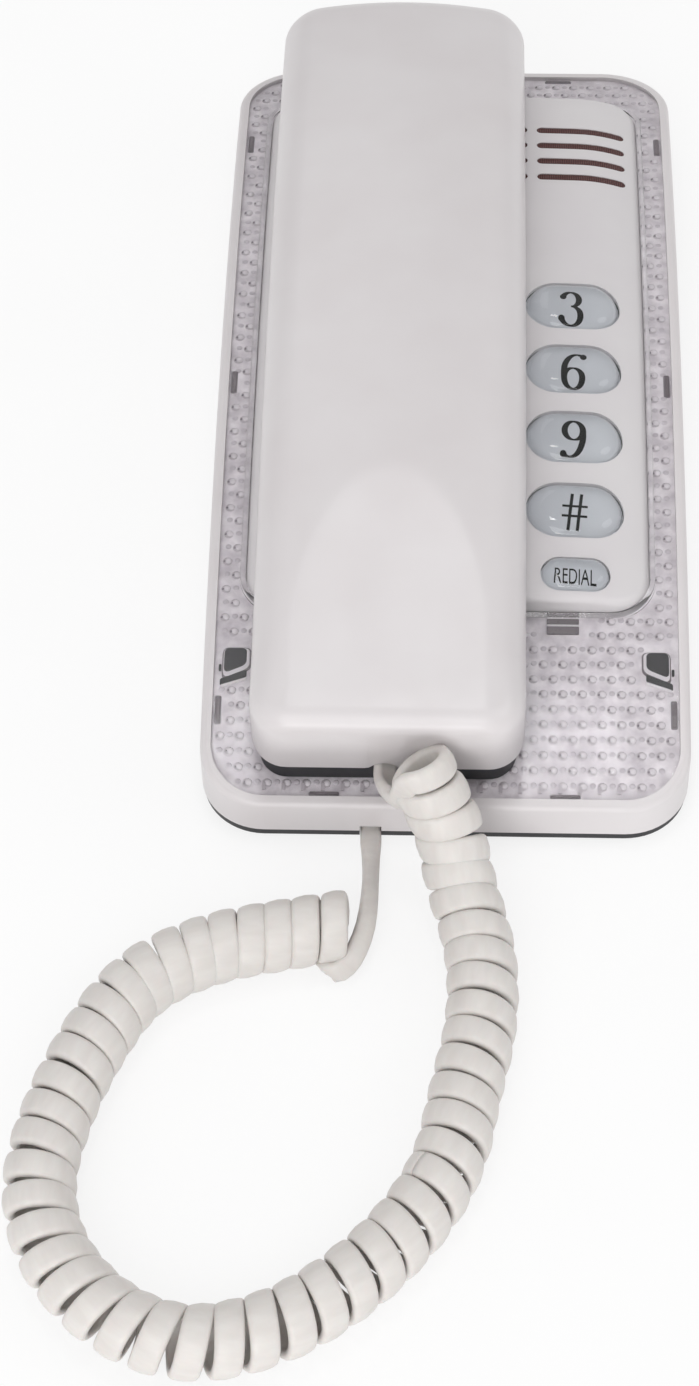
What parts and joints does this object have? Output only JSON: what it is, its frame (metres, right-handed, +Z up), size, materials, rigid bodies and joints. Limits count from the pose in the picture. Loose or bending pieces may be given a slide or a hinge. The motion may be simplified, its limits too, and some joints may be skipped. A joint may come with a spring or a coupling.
{
  "type": "corded telephone",
  "caption": "Corded telephone with an arched base, a clear dimpled surround, a raised keypad panel, a lift-off handset and a curly cord.",
  "frame": {"origin": "centre of the base on the surface that its feet stand on", "axes": "+Z up, +Y from the mouth end to the ear end of the handset, +X towards the free keys"},
  "size_m": [0.1192, 0.3014, 0.046],
  "materials": {
    "white_shell": "satin moulded",
    "clear_plate": "clear, dimpled underneath",
    "key_clear": "clear polished",
    "dark_shell": "matt moulded",
    "foot_rubber": "matt",
    "mat_rubber": "matt",
    "screw_steel": "zinc plated",
    "weight_steel": "raw",
    "board": "coated board",
    "capsule": "moulded",
    "socket": "moulded",
    "plug": "clear moulded",
    "cord": "satin sheath"
  },
  "bodies": {
    "base": {"base_housing": "white_shell", "clear_plate": "clear_plate", "keypad_panel": "white_shell", "base_pan": "dark_shell", "feet": "foot_rubber", "base_screws": "screw_steel", "keypad_board": "board", "key_mat": "mat_rubber", "line_board": "board", "ringer": "capsule", "hook_spring": "screw_steel", "hook_switch": "capsule", "line_jack": "socket", "base_cord_jack": "socket", "base_plug": "plug", "curly_cord": "cord"},
    "handset": {"handset_back": "white_shell", "handset_front": "dark_shell", "handset_screws": "screw_steel", "receiver": "capsule", "microphone": "capsule", "handset_weight": "weight_steel", "handset_cord_jack": "socket", "handset_plug": "plug", "handset_lead": "cord"},
    "hook": {"hook_plunger": "white_shell"},
    "key_1": {"key_1": "key_clear"},
    "key_2": {"key_2": "key_clear"},
    "key_3": {"key_3": "key_clear"},
    "key_4": {"key_4": "key_clear"},
    "key_5": {"key_5": "key_clear"},
    "key_6": {"key_6": "key_clear"},
    "key_7": {"key_7": "key_clear"},
    "key_8": {"key_8": "key_clear"},
    "key_9": {"key_9": "key_clear"},
    "key_star": {"key_star": "key_clear"},
    "key_0": {"key_0": "key_clear"},
    "key_hash": {"key_hash": "key_clear"},
    "key_mute": {"key_mute": "key_clear"},
    "key_flash": {"key_flash": "key_clear"},
    "key_redial": {"key_redial": "key_clear"}
  },
  "joints": [
    {"name": "handset_lift", "type": "slide", "parent": "base", "child": "handset", "axis": [0, 0, 1], "range_m": [0, 0.06]},
    {"name": "hook_travel", "type": "slide", "parent": "base", "child": "hook", "axis": [0, 0, 1], "range_m": [0, 0.004], "deforming": ["hook_spring"]},
    {"name": "key_1_press", "type": "slide", "parent": "base", "child": "key_1", "axis": [0.1013, -0.0364, -0.9942], "range_m": [0, 0.0015], "stiffness_N_per_m": 500, "springref_m": -0.0004},
    {"name": "key_2_press", "type": "slide", "parent": "base", "child": "key_2", "axis": [0, -0.0366, -0.9993], "range_m": [0, 0.0015], "stiffness_N_per_m": 500, "springref_m": -0.0004},
    {"name": "key_3_press", "type": "slide", "parent": "base", "child": "key_3", "axis": [-0.1013, -0.0364, -0.9942], "range_m": [0, 0.0015], "stiffness_N_per_m": 500, "springref_m": -0.0004},
    {"name": "key_4_press", "type": "slide", "parent": "base", "child": "key_4", "axis": [0.1013, 0.0062, -0.9948], "range_m": [0, 0.0015], "stiffness_N_per_m": 500, "springref_m": -0.0004},
    {"name": "key_5_press", "type": "slide", "parent": "base", "child": "key_5", "axis": [0, 0.0062, -1], "range_m": [0, 0.0015], "stiffness_N_per_m": 500, "springref_m": -0.0004},
    {"name": "key_6_press", "type": "slide", "parent": "base", "child": "key_6", "axis": [-0.1013, 0.0062, -0.9948], "range_m": [0, 0.0015], "stiffness_N_per_m": 500, "springref_m": -0.0004},
    {"name": "key_7_press", "type": "slide", "parent": "base", "child": "key_7", "axis": [0.1013, 0.0492, -0.9936], "range_m": [0, 0.0015], "stiffness_N_per_m": 500, "springref_m": -0.0004},
    {"name": "key_8_press", "type": "slide", "parent": "base", "child": "key_8", "axis": [0, 0.0495, -0.9988], "range_m": [0, 0.0015], "stiffness_N_per_m": 500, "springref_m": -0.0004},
    {"name": "key_9_press", "type": "slide", "parent": "base", "child": "key_9", "axis": [-0.1013, 0.0492, -0.9936], "range_m": [0, 0.0015], "stiffness_N_per_m": 500, "springref_m": -0.0004},
    {"name": "key_star_press", "type": "slide", "parent": "base", "child": "key_star", "axis": [0.1013, 0.0928, -0.9905], "range_m": [0, 0.0015], "stiffness_N_per_m": 500, "springref_m": -0.0004},
    {"name": "key_0_press", "type": "slide", "parent": "base", "child": "key_0", "axis": [0, 0.0933, -0.9956], "range_m": [0, 0.0015], "stiffness_N_per_m": 500, "springref_m": -0.0004},
    {"name": "key_hash_press", "type": "slide", "parent": "base", "child": "key_hash", "axis": [-0.1013, 0.0928, -0.9905], "range_m": [0, 0.0015], "stiffness_N_per_m": 500, "springref_m": -0.0004},
    {"name": "key_mute_press", "type": "slide", "parent": "base", "child": "key_mute", "axis": [0.1013, 0.129, -0.9865], "range_m": [0, 0.0015], "stiffness_N_per_m": 500, "springref_m": -0.0004},
    {"name": "key_flash_press", "type": "slide", "parent": "base", "child": "key_flash", "axis": [0, 0.1296, -0.9916], "range_m": [0, 0.0015], "stiffness_N_per_m": 500, "springref_m": -0.0004},
    {"name": "key_redial_press", "type": "slide", "parent": "base", "child": "key_redial", "axis": [-0.1013, 0.129, -0.9865], "range_m": [0, 0.0015], "stiffness_N_per_m": 500, "springref_m": -0.0004}
  ],
  "couplings": [
    {"joint": "hook_travel", "follows": "handset_lift", "ratio": 0.0666}
  ]
}
